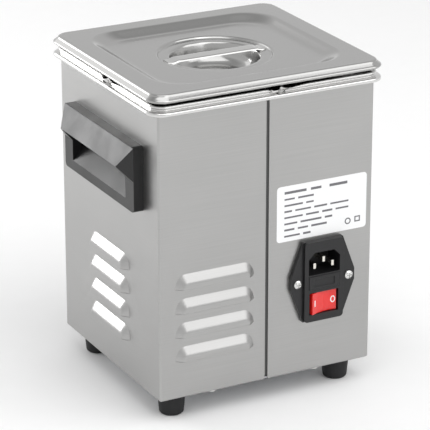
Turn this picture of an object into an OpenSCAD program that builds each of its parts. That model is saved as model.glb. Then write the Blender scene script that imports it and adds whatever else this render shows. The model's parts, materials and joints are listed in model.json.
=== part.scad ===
// Bench-top ultrasonic cleaner, 2 litre, with lid, basket, carry handles and a fused mains inlet.
// Origin: centre of the footprint at the feet's lowest face. +Z up, front panel towards -Y.

/* [Casing] */
// Width of the sheet-metal casing, along X
case_w = 163; // [155:1:175]
// Depth of the casing, along Y
case_d = 151; // [144:1:162]
// Height of the casing, from its bottom edge to the rim's lower edge
case_h = 204; // [198:1:215]
// Thickness of the casing sheet
sheet = 0.8; // [0.6:0.1:1.0]
// Outside radius of the casing's vertical bends
bend_r = 1.6; // [1.2:0.1:3]
// Width of the casing's inward lip, under the base plate
lip_w = 9; // [8:1:10]
// Width of the seam where the wrapped sheet meets, at the rear
seam_gap = 1.2; // [0.6:0.1:2]

/* [Feet] */
// Height of a rubber foot
foot_h = 17; // [14:1:20]
// Radius of a foot at its top
foot_top_r = 10; // [9:0.5:11]
// Radius of a foot at the table
foot_low_r = 8.6; // [8:0.2:9.6]
// Distance of a foot's centre in from the casing's faces
foot_inset = 17; // [15:1:20]

/* [Louvres] */
// Length of a louvre
louvre_len = 60; // [50:1:66]
// Height of a louvre
louvre_h = 10.5; // [9:0.5:12]
// How far a louvre stands out of the sheet
louvre_out = 4; // [3:0.5:5]
// Vertical distance between louvres
louvre_pitch = 17.4; // [15:0.2:19]
// Louvres in one column
louvre_count = 4; // [2:1:4]
// Lower edge of the lowest louvre, above the casing's bottom edge
louvre_base = 27.8; // [24:0.2:32]
// Centre of the rear louvres, along X
louvre_rear_x = 40; // [38:1:44]

/* [Carry handles] */
// Length of a handle's frame
grip_len = 108; // [104:1:112]
// Height of a handle's frame
grip_h = 46; // [44:1:48]
// How far the frame stands out of the casing
grip_out = 7.5; // [6:0.5:9]
// How far the hood stands out past the frame
hood_out = 8; // [6:0.5:9]
// Lower edge of the frame, above the casing's bottom edge
grip_base = 130.5; // [128:0.5:133]

/* [Tank and rim] */
// Inside length of the tank, along X
tank_w = 150; // [146:1:151]
// Depth of the tank, from the rim's top to the floor
tank_depth = 100; // [90:1:102]
// How far the rim's rolled band stands out past the casing
rim_out = 6.5; // [5:0.5:7]

/* [Control panel] */
// Width of the control bezel
bezel_w = 124; // [116:1:130]
// Height of the control bezel
bezel_h = 78; // [74:1:80]
// Centre of the bezel above the table
bezel_z = 79; // [77:1:81]
// Radius of a button cap
button_r = 6.4; // [5.5:0.1:7]
// Travel of a button
button_travel = 1.2; // [0.8:0.1:1.2]

/* [Mains inlet] */
// Centre of the inlet, along X
inlet_x = -42; // [-46:1:-38]
// Centre of the inlet above the casing's bottom edge
inlet_up = 67.5; // [60:0.5:72]
// Distance between the inlet's two screws
inlet_pitch = 40; // [40:0.5:40.5]
// Tilt of the rocker at rest
rocker_tilt = 8; // [5:1:9]

/* [Hidden] */
$fn = 48;

half_w = case_w / 2;
half_d = case_d / 2;
case_z = foot_h;
rim_z = case_z + case_h;
case_top = rim_z + 3.4;
plate_z = case_z + sheet;
plate_t = 1;
floor_z = plate_z + plate_t;
foot_x = half_w - foot_inset;
foot_y = half_d - foot_inset;

// Tank: heights above the rim's lower edge, and the wall's offset from the casing's face
tank_sheet = 0.8;
wall_in = half_w - (tank_w + tank_sheet) / 2;
ridge_top = 6.8;
tank_floor = rim_z + ridge_top - tank_depth;
tank_under = tank_floor - tank_sheet;
tank_half_w = tank_w / 2 + tank_sheet;
tank_half_d = half_d - wall_in + tank_sheet / 2;

// Lid: heights above the rim's lower edge
lid_sheet = 0.8;
panel_up = 9.4;
annulus_up = 7.8;

inlet_z = case_z + inlet_up;
face_y = half_d;
front_y = -half_d;

// ---------- helpers ----------

// Points of an arc, from angle a0 to a1
function arc(c, r, a0, a1, n) =
  [for (i = [0 : n]) c + r * [cos(a0 + (a1 - a0) * i / n), sin(a0 + (a1 - a0) * i / n)]];

// Outline of a rounded rectangle
function rounded(w, d, r, n = 6) =
  let (x = w / 2 - r, y = d / 2 - r)
  concat(arc([x, y], r, 0, 90, n), arc([-x, y], r, 90, 180, n),
         arc([-x, -y], r, 180, 270, n), arc([x, -y], r, 270, 360, n));

module slab(w, d, h, r, n = 6) {
  linear_extrude(h) polygon(rounded(w, d, r, n));
}

module at_corners(x, y) {
  for (sx = [-1, 1], sy = [-1, 1]) translate([sx * x, sy * y, 0]) children();
}

// Places children, drawn with +Z outwards, on the rear face
module on_rear(x, z, out = 0) {
  translate([x, face_y + out, z]) rotate([-90, 0, 0]) children();
}

// Places children, drawn with X across, Y up and +Z outwards, on the front face
module on_front(x, z, out = 0) {
  translate([x, front_y - out, z]) rotate([90, 0, 0]) children();
}

// Six-sided prism, size across its flats
module hexagon(af, h) {
  cylinder(r = af / sqrt(3), h = h, $fn = 6);
}

module pan_screw(head_r, head_h, shank_r, shank_len) {
  difference() {
    union() {
      translate([0, 0, -shank_len]) cylinder(r = shank_r, h = shank_len);
      cylinder(r = head_r, h = head_h * 0.55);
      translate([0, 0, head_h * 0.55]) cylinder(r1 = head_r, r2 = head_r * 0.62, h = head_h * 0.45);
    }
    for (a = [0, 90]) rotate([0, 0, a])
      translate([-head_r * 0.6, -head_r * 0.12, head_h * 0.45]) cube([head_r * 1.2, head_r * 0.24, head_h]);
  }
}

// Points of one ring of a lofted sheet. A ring holds its half width, half depth, corner radius,
// height and, where the middle of each side is pressed down, the depth of that notch
ring_arc = 6;
notch_half = 11;
notch_end = 15;
function ring_points(g) =
  let (hx = g[0], hy = g[1], r = g[2], z = g[3], dip = g[4])
  [for (c = [0 : 3])
    let (sx = (c == 0 || c == 3) ? 1 : -1, sy = c < 2 ? 1 : -1, across = c % 2 == 0 ? hy : hx, q = 90 * c)
    each concat(
      [for (i = [0 : ring_arc])
        let (a = q + 90 * i / ring_arc) [sx * (hx - r) + r * cos(a), sy * (hy - r) + r * sin(a), z]],
      dip == undef ? [] : [for (s = [notch_end, notch_half, -notch_half, -notch_end])
        [s * cos(q) - across * sin(q), s * sin(q) + across * cos(q), abs(s) == notch_half ? z - dip : z]]
    )];

function travel(path, i) =
  let (a = path[max(i - 1, 0)], b = path[min(i + 1, len(path) - 1)], d = [b[0] - a[0], b[3] - a[3]])
  d / norm(d);

function beside(path, i, s) =
  let (d = travel(path, i), g = path[i])
  [g[0] + s * d[1], g[1] + s * d[1], max(g[2] + s * d[1], 0.2), g[3] - s * d[0], g[4]];

// Sheet of thickness t whose middle surface follows the rings, closed at its last ring
module pressed_sheet(path, t) {
  last = len(path) - 1;
  rings = concat([for (i = [last : -1 : 0]) beside(path, i, -t / 2)],
                 [for (i = [0 : last]) beside(path, i, t / 2)]);
  m = len(ring_points(rings[0]));
  top = len(rings) - 1;
  middle = (top + 1) * m;
  points = concat([for (g = rings) each ring_points(g)], [[0, 0, rings[0][3]], [0, 0, rings[top][3]]]);
  sides = [for (i = [0 : top - 1], j = [0 : m - 1])
    let (k = (j + 1) % m) each [
      [i * m + j, (i + 1) * m + j, (i + 1) * m + k],
      [i * m + j, (i + 1) * m + k, i * m + k]]];
  caps = [for (j = [0 : m - 1])
    let (k = (j + 1) % m) each [[middle, j, k], [middle + 1, top * m + k, top * m + j]]];
  polyhedron(points = points, faces = concat(sides, caps), convexity = 10);
}

// Smooth curve through hand-chosen points
function spline_at(p, i, t) =
  let (a = p[max(i - 1, 0)], b = p[i], c = p[i + 1], d = p[min(i + 2, len(p) - 1)])
  0.5 * ((2 * b) + (c - a) * t + (2 * a - 5 * b + 4 * c - d) * t * t
         + (3 * b - a - 3 * c + d) * t * t * t);
function spline(p, n) =
  concat([for (i = [0 : len(p) - 2], j = [0 : n - 1]) spline_at(p, i, j / n)], [p[len(p) - 1]]);

// Round wire swept along a route that is nowhere parallel to ref
wire_sides = 8;
module wire(route, r, ref) {
  p = spline(route, 3);
  last = len(p) - 1;
  points = [for (i = [0 : last])
    let (t = p[min(i + 1, last)] - p[max(i - 1, 0)], a = cross(t, ref), u = a / norm(a),
         b = cross(u, t), v = b / norm(b))
    for (j = [0 : wire_sides - 1])
      let (q = 360 * j / wire_sides) p[i] + r * (u * cos(q) + v * sin(q))];
  m = wire_sides;
  sides = [for (i = [0 : last - 1], j = [0 : m - 1])
    let (k = (j + 1) % m) each [
      [i * m + j, (i + 1) * m + j, (i + 1) * m + k],
      [i * m + j, (i + 1) * m + k, i * m + k]]];
  caps = [[for (j = [0 : m - 1]) j], [for (j = [m - 1 : -1 : 0]) last * m + j]];
  polyhedron(points = points, faces = concat(sides, caps), convexity = 10);
}

// ---------- casing ----------

// Upper half of a stadium: sloped crown, upright front, open below; drawn outwards along +Y
module louvre_form(length, height, out, front, back, below) {
  mid = length - 2 * height;
  profile = [[0, -back], [height, -back], [height, 0], [front, out], [0, out]];
  translate([-mid / 2, 0, 0]) rotate([90, 0, 90])
    linear_extrude(mid)
      polygon([[-back, -below], [out, -below], [out, front], [0, height], [-back, height]]);
  for (s = [0, 1])
    translate([mid / 2 - s * mid, 0, 0]) rotate([-90, 0, 0]) rotate([0, 0, -90 - 90 * s])
      rotate_extrude(angle = 90) polygon(profile);
}

module louvre_places() {
  for (i = [0 : louvre_count - 1]) {
    z = case_z + louvre_base + i * louvre_pitch;
    translate([louvre_rear_x, face_y, z]) children();
    translate([half_w, 0, z]) rotate([0, 0, -90]) children();
    translate([-half_w, 0, z]) rotate([0, 0, 90]) children();
  }
}

grip_hole = [grip_len - 20, 28];
grip_hole_up = 14;
inlet_body = [27, 48.2];
inlet_body_mid = -1.3;
cut_play = 0.4;
panel_hole = [bezel_w - 12, bezel_h - 12];
base_screw_x = 40;
base_screw_y = half_d - lip_w / 2;

module casing() {
  color("silver") difference() {
    union() {
      difference() {
        translate([0, 0, case_z]) slab(case_w, case_d, case_top - case_z, bend_r);
        translate([0, 0, plate_z])
          slab(case_w - 2 * sheet, case_d - 2 * sheet, case_h + 20, bend_r - sheet);
        translate([0, 0, case_z - 1]) slab(case_w - 2 * lip_w, case_d - 2 * lip_w, 3, 3);
      }
      louvre_places() louvre_form(louvre_len, louvre_h, louvre_out, 3.8, sheet / 2, 0);
    }
    louvre_places()
      louvre_form(louvre_len - 1.8, louvre_h - 0.9, louvre_out - sheet, 3.4, 2 * sheet, 0.5);
    translate([-seam_gap / 2, face_y - lip_w - 1, case_z - 1]) cube([seam_gap, lip_w + 2, case_h + 10]);
    for (s = [-1, 1])
      translate([s * half_w - 2, -grip_hole[0] / 2, case_z + grip_base + grip_hole_up])
        cube([4, grip_hole[0], grip_hole[1]]);
    translate([inlet_x - inlet_body[0] / 2 - cut_play, face_y - 2,
               inlet_z + inlet_body_mid - inlet_body[1] / 2 - cut_play])
      cube([inlet_body[0] + 2 * cut_play, 4, inlet_body[1] + 2 * cut_play]);
    for (s = [-1, 1]) on_rear(inlet_x + s * inlet_pitch / 2, inlet_z, -2) cylinder(r = 1.6, h = 4);
    translate([-panel_hole[0] / 2, front_y - 2, bezel_z - panel_hole[1] / 2])
      cube([panel_hole[0], 4, panel_hole[1]]);
    translate([0, 0, case_z - 1]) at_corners(base_screw_x, base_screw_y) cylinder(r = 1.6, h = 3);
  }
}

module rear_seam_strip() {
  color("silver") translate([-8, face_y - 2 * sheet, floor_z + 1])
    cube([16, sheet, case_top - floor_z - 3]);
}

module base_plate() {
  color("lightgray") difference() {
    translate([0, 0, plate_z]) slab(case_w - 2 * sheet - 0.4, case_d - 2 * sheet - 0.4, plate_t, 1);
    translate([0, 0, plate_z - 1]) {
      at_corners(base_screw_x, base_screw_y) cylinder(r = 1.6, h = 3);
      at_corners(foot_x, foot_y) cylinder(r = 2.1, h = 3);
      for (y = [-30 : 12 : 30]) translate([-20, y, 0]) cube([40, 4, 3]);
    }
  }
}

module base_screws() {
  color("silver") at_corners(base_screw_x, base_screw_y)
    translate([0, 0, case_z]) mirror([0, 0, 1]) pan_screw(3, 1.8, 1.5, 6);
}

foot_recess = 8;
module rubber_feet() {
  edge = 2;
  outline = concat([[2.1, foot_recess], [4.6, foot_recess], [4.6, 0]],
                   arc([foot_low_r - edge, edge], edge, -90, 0, 5),
                   [[foot_top_r, foot_h], [6, foot_h], [6, plate_z], [2.1, plate_z]]);
  color("#202022") at_corners(foot_x, foot_y) rotate_extrude() polygon(outline);
}

module foot_screws() {
  color("silver") at_corners(foot_x, foot_y) translate([0, 0, foot_recess])
    mirror([0, 0, 1]) pan_screw(3.9, 2.6, 2, 16);
}

module foot_nuts() {
  color("silver") at_corners(foot_x, foot_y) translate([0, 0, floor_z]) difference() {
    hexagon(7, 3.2);
    translate([0, 0, -1]) cylinder(r = 2, h = 6);
  }
}

// ---------- tank ----------

// A ring at an offset n from the casing's faces and a height above the rim's lower edge
function rim_ring(n, r, up, dip = 0) = [half_w + n, half_d + n, r, rim_z + up, dip];
function lid_ring(n, r, up) = [half_w + n, half_d + n, r, rim_z + up];
band = rim_out - tank_sheet / 2;
dip_full = 1.7;
foot_up = ridge_top - tank_depth;
tank_rings = [
  rim_ring(band - 1.7, 9.9, 1.3), rim_ring(band - 0.9, 10.7, 0.6), rim_ring(band, 11.6, 1.6),
  rim_ring(band - 0.5, 11.2, 2.6), rim_ring(band - 2.5, 9.4, 3.2), rim_ring(2.3, 8.4, 3.9),
  rim_ring(2.6, 8.6, 4.8), rim_ring(3.0, 8.8, 5.6, 0.6), rim_ring(2.3, 8.4, 6.3, dip_full),
  rim_ring(1.2, 8.2, ridge_top - 0.4, dip_full), rim_ring(-1, 9, ridge_top - 0.4, dip_full),
  rim_ring(-3.5, 12, ridge_top - 0.5, 0.8), rim_ring(1.1 - wall_in, 16, 5.5),
  rim_ring(0.3 - wall_in, 18, 3.8), rim_ring(-wall_in, 19, 1.5),
  rim_ring(-wall_in, 19, foot_up + 9), rim_ring(-wall_in - 1.4, 17.5, foot_up + 3.6),
  rim_ring(-wall_in - 5, 15.5, foot_up + 0.4), rim_ring(-wall_in - 10, 14, foot_up - 0.4)
];

module tank() {
  color("gainsboro") pressed_sheet(tank_rings, tank_sheet);
}

module rim_gasket() {
  color("#303030") translate([0, 0, case_top]) difference() {
    slab(case_w + 0.6, case_d + 0.6, rim_z + ridge_top - tank_sheet - dip_full - case_top - 0.4, 2);
    translate([0, 0, -1]) slab(case_w - 3.6, case_d - 3.6, 6, 1);
  }
}

module heating_pad() {
  color("#b5651d") translate([-50, -tank_half_d - 1.5, tank_floor + 12]) cube([100, 1.5, 55]);
}

module thermal_cutout() {
  color("dimgray") translate([46, 0, tank_under]) mirror([0, 0, 1]) {
    cylinder(r = 8, h = 5);
    translate([-4, -4, 5]) cube([8, 8, 4]);
  }
}

module temperature_sensor() {
  color("ivory") translate([-52, -5, tank_under - 6]) cube([14, 10, 6]);
}

// ---------- transducer ----------

horn_h = 26;
horn_low = tank_under - horn_h;
tab_t = 0.4;
ring_t = 5;
stack_r = 19;
stack_low = horn_low - 3 * tab_t - 2 * ring_t;
tail_h = 22;
bolt_r = 5;

module transducer_front_mass() {
  color("lightsteelblue") difference() {
    rotate_extrude() polygon([[0, horn_low], [stack_r, horn_low], [25, horn_low + 15], [25, tank_under],
                              [0, tank_under]]);
    translate([0, 0, horn_low - 1]) cylinder(r = bolt_r + 0.05, h = 15);
  }
}

module transducer_ceramic_rings() {
  color("#d8cfa8") for (i = [0, 1])
    translate([0, 0, horn_low - tab_t - ring_t - i * (ring_t + tab_t)]) difference() {
      cylinder(r = stack_r, h = ring_t);
      translate([0, 0, -1]) cylinder(r = bolt_r + 1.5, h = ring_t + 2);
    }
}

module transducer_electrodes() {
  color("goldenrod") for (i = [0 : 2])
    translate([0, 0, horn_low - tab_t - i * (ring_t + tab_t)]) difference() {
      union() {
        cylinder(r = stack_r, h = tab_t);
        translate([-stack_r - 7, -3 + (i - 1) * 7, 0]) cube([12, 6, tab_t]);
      }
      translate([0, 0, -1]) cylinder(r = bolt_r + 1.5, h = 3);
    }
}

module transducer_back_mass() {
  color("slategray") translate([0, 0, stack_low - tail_h]) difference() {
    cylinder(r = stack_r, h = tail_h);
    translate([0, 0, -1]) cylinder(r = bolt_r + 0.2, h = tail_h + 2);
  }
}

module transducer_bolt() {
  color("silver") translate([0, 0, stack_low - tail_h]) {
    cylinder(r = bolt_r, h = tail_h + 2 * ring_t + 3 * tab_t + 12);
    translate([0, 0, -7]) hexagon(16, 7);
  }
}

// ---------- generator board ----------

board_lift = 7.2;
board_t = 1.6;
board_z = floor_z + board_lift;
board_top = board_z + board_t;
board_low = [-62, -50];
board_size = [124, 75];
board_mid = board_low + board_size / 2;

module board_holes() {
  translate([board_mid[0], board_mid[1], 0])
    at_corners(board_size[0] / 2 - 5, board_size[1] / 2 - 5) children();
}

module generator_board() {
  color("darkgreen") difference() {
    translate([board_low[0], board_low[1], board_z]) cube([board_size[0], board_size[1], board_t]);
    translate([0, 0, board_z - 1]) board_holes() cylinder(r = 1.6, h = 4);
  }
}

module board_standoffs() {
  color("white") translate([0, 0, floor_z]) board_holes() difference() {
    cylinder(r = 3.2, h = board_lift);
    translate([0, 0, 1]) cylinder(r = 1.5, h = board_lift);
  }
}

module board_screws() {
  color("silver") translate([0, 0, board_top]) board_holes() pan_screw(2.9, 1.8, 1.5, 6);
}

module board_transformer() {
  color("#c9b458") translate([-53, -43, board_top]) {
    difference() {
      cube([30, 26, 22]);
      translate([5, -1, 3.5]) cube([20, 4, 15]);
      translate([5, 23, 3.5]) cube([20, 4, 15]);
    }
  }
}

module board_inductor() {
  color("#b87333") translate([-43, 3, board_top]) difference() {
    cylinder(r = 12, h = 10);
    translate([0, 0, -1]) cylinder(r = 5, h = 12);
  }
}

module board_capacitors() {
  color("#1f3a5f") {
    for (y = [-36, -14]) translate([42, y, board_top]) cylinder(r = 8, h = 24);
    for (x = [-18, 6]) translate([x, 12, board_top]) cube([18, 8, 14]);
  }
}

sink_size = [34, 10, 24];
module heatsinks() {
  color("#9a9ea3") for (y = [-35, -7]) translate([-12, y, board_top]) difference() {
    cube(sink_size);
    for (i = [0 : 4]) translate([2.5 + i * 6.2, -1, -1]) cube([4, sink_size[1] - 3, sink_size[2] + 2]);
  }
}

module power_transistors() {
  color("#2a2a2a") for (y = [-35, -7]) translate([0, y + sink_size[1], board_top + 6])
    cube([10, 4.5, 15]);
}

// ---------- control panel ----------

bezel_out = 3;
bezel_skin = 2.6;
post_len = 8.5;
panel_board_y = front_y + post_len;
window = [66, 24];
window_z = bezel_z + 20;
button_rows = [bezel_z - 5.5, bezel_z - 22];
button_pitch = 38;
button_names = ["power", "time_down", "time_up", "heat", "temp_down", "temp_up"];

module button_places() {
  for (z = button_rows, i = [-1 : 1]) on_front(i * button_pitch, z) children();
}

module control_bezel() {
  color("#2b2e33") difference() {
    union() {
      on_front(0, bezel_z) slab(bezel_w, bezel_h, bezel_out, 6);
      on_front(0, bezel_z, -3) slab(panel_hole[0] - 0.6, panel_hole[1] - 0.6, 3, 1);
      on_front(0, bezel_z, -post_len) at_corners(panel_hole[0] / 2 - 5, panel_hole[1] / 2 - 5)
        cylinder(r = 3, h = post_len);
    }
    on_front(0, bezel_z, -4) slab(panel_hole[0] - 16.6, panel_hole[1] - 6, 4 + bezel_out - bezel_skin, 1);
    on_front(0, window_z, bezel_out - 1.7) slab(window[0], window[1], 3, 1.5);
    on_front(0, window_z, -5) slab(window[0] - 4, window[1] - 4, 12, 1.5);
    button_places() translate([0, 0, -5]) cylinder(r = button_r + 0.3, h = 12);
    on_front(0, bezel_z, -post_len - 1) at_corners(panel_hole[0] / 2 - 5, panel_hole[1] / 2 - 5)
      cylinder(r = 1.1, h = 7);
  }
}

module display_window() {
  color("#401010") on_front(0, window_z, bezel_out - 1.7)
    slab(window[0] - 0.4, window[1] - 0.4, 1.5, 1.3);
}

module control_board() {
  color("darkgreen") difference() {
    translate([-panel_hole[0] / 2 + 0.5, panel_board_y, bezel_z - panel_hole[1] / 2 + 0.5])
      cube([panel_hole[0] - 1, 1.6, panel_hole[1] - 1]);
    on_front(0, bezel_z, -post_len - 3) at_corners(panel_hole[0] / 2 - 5, panel_hole[1] / 2 - 5)
      cylinder(r = 1.3, h = 5);
  }
}

module display_module() {
  color("#202020") translate([-28, panel_board_y - 6, window_z - 9]) cube([56, 6, 18]);
}

switch_h = 3.6;
module tact_switches() {
  color("#333333") button_places() translate([0, 0, -post_len]) {
    translate([-3, -3, 0]) cube([6, 6, switch_h]);
    cylinder(r = 1.7, h = switch_h + 0.6);
  }
}

module panel_screws() {
  color("silver") on_front(0, bezel_z, -post_len - 1.6)
    at_corners(panel_hole[0] / 2 - 5, panel_hole[1] / 2 - 5) mirror([0, 0, 1]) pan_screw(2.4, 1.5, 1.1, 6);
}

// Cap, retaining flange and stem; the stem stops short of its switch by a little over the travel
module button(index) {
  x = (index % 3 - 1) * button_pitch;
  z = button_rows[floor(index / 3)];
  stem_end = switch_h + 0.6 - post_len + button_travel + 0.15;
  color("#d9dbdd") on_front(x, z) {
    translate([0, 0, -2.2]) cylinder(r = button_r, h = bezel_out + 3);
    translate([0, 0, bezel_out + 0.8]) cylinder(r1 = button_r, r2 = button_r - 0.9, h = 0.9);
    translate([0, 0, -2.6]) cylinder(r = button_r + 1.2, h = 1.2);
    translate([0, 0, stem_end]) cylinder(r = 2.4, h = -stem_end);
  }
}

module button_power() { button(0); }
module button_time_down() { button(1); }
module button_time_up() { button(2); }
module button_heat() { button(3); }
module button_temp_down() { button(4); }
module button_temp_up() { button(5); }

// ---------- carry handles ----------

// Drawn on the +X face: a raised frame, a hood over its upper half, and a sloped finger pocket
side_border = 12.5;
low_border = 7.2;
hood_side = 10.6;
lip_up = grip_h - 14.8;
cheek_up = grip_h - 24;
pocket_low = 20;
pocket_back = 2.6;
back_wall = 1;
skin = 2.4;

function frame_outline() =
  let (y = grip_len / 2, low = 3, high = 2.5)
  concat(arc([y - high, grip_h - high], high, 0, 90, 3), arc([-y + high, grip_h - high], high, 90, 180, 3),
         arc([-y + low, low], low, 180, 270, 5), arc([y - low, low], low, 270, 360, 5));

module grip_profile(points, half) {
  translate([0, half, 0]) rotate([90, 0, 0]) linear_extrude(2 * half) polygon(points);
}

module side_handle() {
  slope = [hood_out, lip_up - grip_h];
  inward = skin * [slope[1], -slope[0]] / norm(slope);
  lip = [grip_out + hood_out, lip_up];
  under = lip + inward;
  brow = grip_h - 5.5;
  brow_x = under[0] + (brow - under[1]) * slope[0] / slope[1];
  beyond = lip - 0.6 * inward;
  translate([half_w, 0, case_z + grip_base]) difference() {
    union() {
      rotate([90, 0, 90]) linear_extrude(grip_out) polygon(frame_outline());
      translate([-pocket_back - back_wall, -grip_hole[0] / 2 + 0.2, grip_hole_up + 0.2])
        cube([pocket_back + back_wall + 1, grip_hole[0] - 0.4, grip_hole[1] - 0.4]);
      intersection() {
        grip_profile([[grip_out - 1, grip_h - 0.6], [grip_out, grip_h - 0.6], lip, [grip_out, cheek_up],
                      [grip_out - 1, cheek_up]], grip_len / 2);
        linear_extrude(grip_h) polygon([
          [grip_out - 1, -grip_len / 2 + 0.4], [grip_out, -grip_len / 2 + 0.4],
          [grip_out + hood_out, -grip_len / 2 + hood_side], [grip_out + hood_out, grip_len / 2 - hood_side],
          [grip_out, grip_len / 2 - 0.4], [grip_out - 1, grip_len / 2 - 0.4]]);
      }
    }
    grip_profile([[-pocket_back, pocket_low], [-pocket_back, brow], [brow_x, brow], under, beyond,
                  [grip_out + 2 * hood_out, cheek_up], [grip_out + 1, low_border - 1.2],
                  [grip_out, low_border]], grip_len / 2 - side_border);
  }
}

module side_handle_left() {
  color("#26272a") side_handle();
}

module side_handle_right() {
  color("#26272a") mirror([1, 0, 0]) side_handle();
}

// ---------- mains inlet ----------

flange_t = 3;
frame_t = 2;
inlet_face = flange_t + frame_t;
inlet_back = 30;
socket_low = 5.2;
socket_high = 21.4;
socket_half = 12.2;
socket_deep = 16;
socket_mid = (socket_low + socket_high) / 2;
pin_gap = 7;
pin_size = [2, 4];
drawer_mid = -0.8;
drawer_half = [12, 5];
tray_half = [9.9, 4.2];
tray_deep = 26;
rocker_mid = -16;
rocker_half = [11.4, 8];
pivot_out = 1.2;
pin_r = 1.25;

// Local frame of the inlet: X across, Z up, Y outwards from the casing's rear face
module in_inlet() {
  translate([inlet_x, face_y, inlet_z]) children();
}

module inlet_box(x0, x1, y0, y1, z0, z1) {
  translate([x0, y0, z0]) cube([x1 - x0, y1 - y0, z1 - z0]);
}

module inlet_housing() {
  ear = inlet_pitch / 2 + 5;
  chamfer = 4.6;
  color("#1b1c1e") in_inlet() difference() {
    union() {
      rotate([90, 0, 180]) linear_extrude(flange_t)
        polygon([[15.5, 29.2], [-15.5, 29.2], [-ear, 4], [-ear, -4], [-15.5, -29.2], [15.5, -29.2],
                 [ear, -4], [ear, 4]]);
      translate([0, flange_t, 0]) rotate([90, 0, 180]) slab(30.6, 58.4, frame_t, 2.5);
      inlet_box(-inlet_body[0] / 2, inlet_body[0] / 2, -inlet_back, 0.5,
                inlet_body_mid - inlet_body[1] / 2, inlet_body_mid + inlet_body[1] / 2);
    }
    translate([0, -socket_deep + inlet_face, 0]) rotate([90, 0, 180]) linear_extrude(socket_deep + 1)
      polygon([[-socket_half, socket_low], [socket_half, socket_low],
               [socket_half, socket_high - chamfer], [socket_half - chamfer, socket_high],
               [chamfer - socket_half, socket_high], [-socket_half, socket_high - chamfer]]);
    pin_holes();
    inlet_box(-drawer_half[0], drawer_half[0], 1.8, inlet_face + 1,
              drawer_mid - drawer_half[1], drawer_mid + drawer_half[1]);
    inlet_box(-tray_half[0], tray_half[0], inlet_face - tray_deep - 4, 2,
              drawer_mid - tray_half[1], drawer_mid + tray_half[1]);
    inlet_box(-rocker_half[0], rocker_half[0], -8.5, inlet_face + 1,
              rocker_mid - rocker_half[1], rocker_mid + rocker_half[1]);
    translate([0, pivot_out, rocker_mid - rocker_half[1] - 0.9])
      cylinder(r = pin_r, h = 2 * rocker_half[1] + 1.8);
    for (s = [-1, 1]) translate([s * inlet_pitch / 2, -1, 0]) rotate([-90, 0, 0])
      cylinder(r = 1.6, h = flange_t + 2);
  }
}

pin_places = [[-pin_gap, socket_mid - 2], [0, socket_mid + 2], [pin_gap, socket_mid - 2]];

module pin_holes() {
  for (p = pin_places)
    inlet_box(p[0] - pin_size[0] / 2, p[0] + pin_size[0] / 2, -inlet_back - 1, 0,
              p[1] - pin_size[1] / 2, p[1] + pin_size[1] / 2);
}

// Each blade and its push-on tab are one stamping
module inlet_pins() {
  color("silver") in_inlet() for (p = pin_places) union() {
    inlet_box(p[0] - pin_size[0] / 2, p[0] + pin_size[0] / 2, -inlet_back, inlet_face - 1,
              p[1] - pin_size[1] / 2, p[1] + pin_size[1] / 2);
    inlet_box(p[0] - 0.4, p[0] + 0.4, -inlet_back - 8, -inlet_back, p[1] - 3, p[1] + 3);
  }
}

module inlet_screws() {
  color("silver") for (s = [-1, 1])
    on_rear(inlet_x + s * inlet_pitch / 2, inlet_z, flange_t) pan_screw(3, 2.2, 1.5, 9);
}

module inlet_nuts() {
  color("silver") for (s = [-1, 1])
    on_rear(inlet_x + s * inlet_pitch / 2, inlet_z, -sheet - 2.4) difference() {
      hexagon(5.5, 2.4);
      translate([0, 0, -1]) cylinder(r = 1.5, h = 5);
    }
}

fuse_r = 2.5;
fuse_x = 4.8;
fuse_len = 20;
module fuse_drawer() {
  play = 0.2;
  front_half = drawer_half - [play, play];
  tray = tray_half - [play, play];
  color("#232427") in_inlet() difference() {
    union() {
      inlet_box(-front_half[0], front_half[0], 2, inlet_face + 0.4,
                drawer_mid - front_half[1], drawer_mid + front_half[1]);
      inlet_box(-tray[0], tray[0], inlet_face - tray_deep, 2.5, drawer_mid - tray[1], drawer_mid + tray[1]);
    }
    for (s = [-1, 1])
      inlet_box(s * fuse_x - fuse_r - 0.1, s * fuse_x + fuse_r + 0.1, -fuse_len - 0.2, 0.2,
                drawer_mid - fuse_r - 0.1, drawer_mid + 6);
    inlet_box(-8, 8, inlet_face - 0.4, inlet_face + 1, drawer_mid - 2.8, drawer_mid + 2.8);
  }
}

module fuses() {
  color("whitesmoke") in_inlet() for (s = [-1, 1])
    translate([s * fuse_x, 0, drawer_mid]) rotate([90, 0, 0]) union() {
      cylinder(r = fuse_r, h = 5);
      translate([0, 0, 5]) cylinder(r = fuse_r - 0.2, h = fuse_len - 10);
      translate([0, 0, fuse_len - 5]) cylinder(r = fuse_r, h = 5);
    }
}

module rocker() {
  reach = rocker_half[0] - 1.2;
  tall = 2 * rocker_half[1] - 0.6;
  color("#c01818") in_inlet() translate([0, pivot_out, rocker_mid - tall / 2])
    rotate([0, 0, rocker_tilt]) difference() {
      linear_extrude(tall) polygon(concat(
        [[reach, 3.6], [reach * 0.5, 2.5], [0, 2.1], [-reach * 0.5, 2.5], [-reach, 3.6], [-reach, -1.2]],
        [[-5, -6.2], [5, -6.2], [reach, -1.2]]));
      translate([0, 0, -1]) cylinder(r = pin_r + 0.05, h = tall + 2);
    }
}

module rocker_pin() {
  color("silver") in_inlet() translate([0, pivot_out, rocker_mid - rocker_half[1] - 0.9])
    cylinder(r = pin_r, h = 2 * rocker_half[1] + 1.8);
}

label_size = [70, 40];
label_mid = [-42, 119.2];
module rating_label() {
  color("white") on_rear(label_mid[0], case_z + label_mid[1]) slab(label_size[0], label_size[1], 0.3, 2.5);
}

stud_at = [-70, 36];
module earth_stud() {
  color("silver") translate([stud_at[0], stud_at[1], floor_z]) {
    difference() {
      hexagon(7, 3);
      translate([0, 0, -1]) cylinder(r = 2, h = 5);
    }
    cylinder(r = 2, h = 9);
  }
}

// ---------- internal wiring ----------

tab_y = face_y - inlet_back - 8;
live_z = inlet_z + socket_mid - 2;
earth_z = inlet_z + socket_mid + 2;
lead_r = 1.3;
mid_tab_z = horn_low - ring_t - 1.5 * tab_t;

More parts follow.
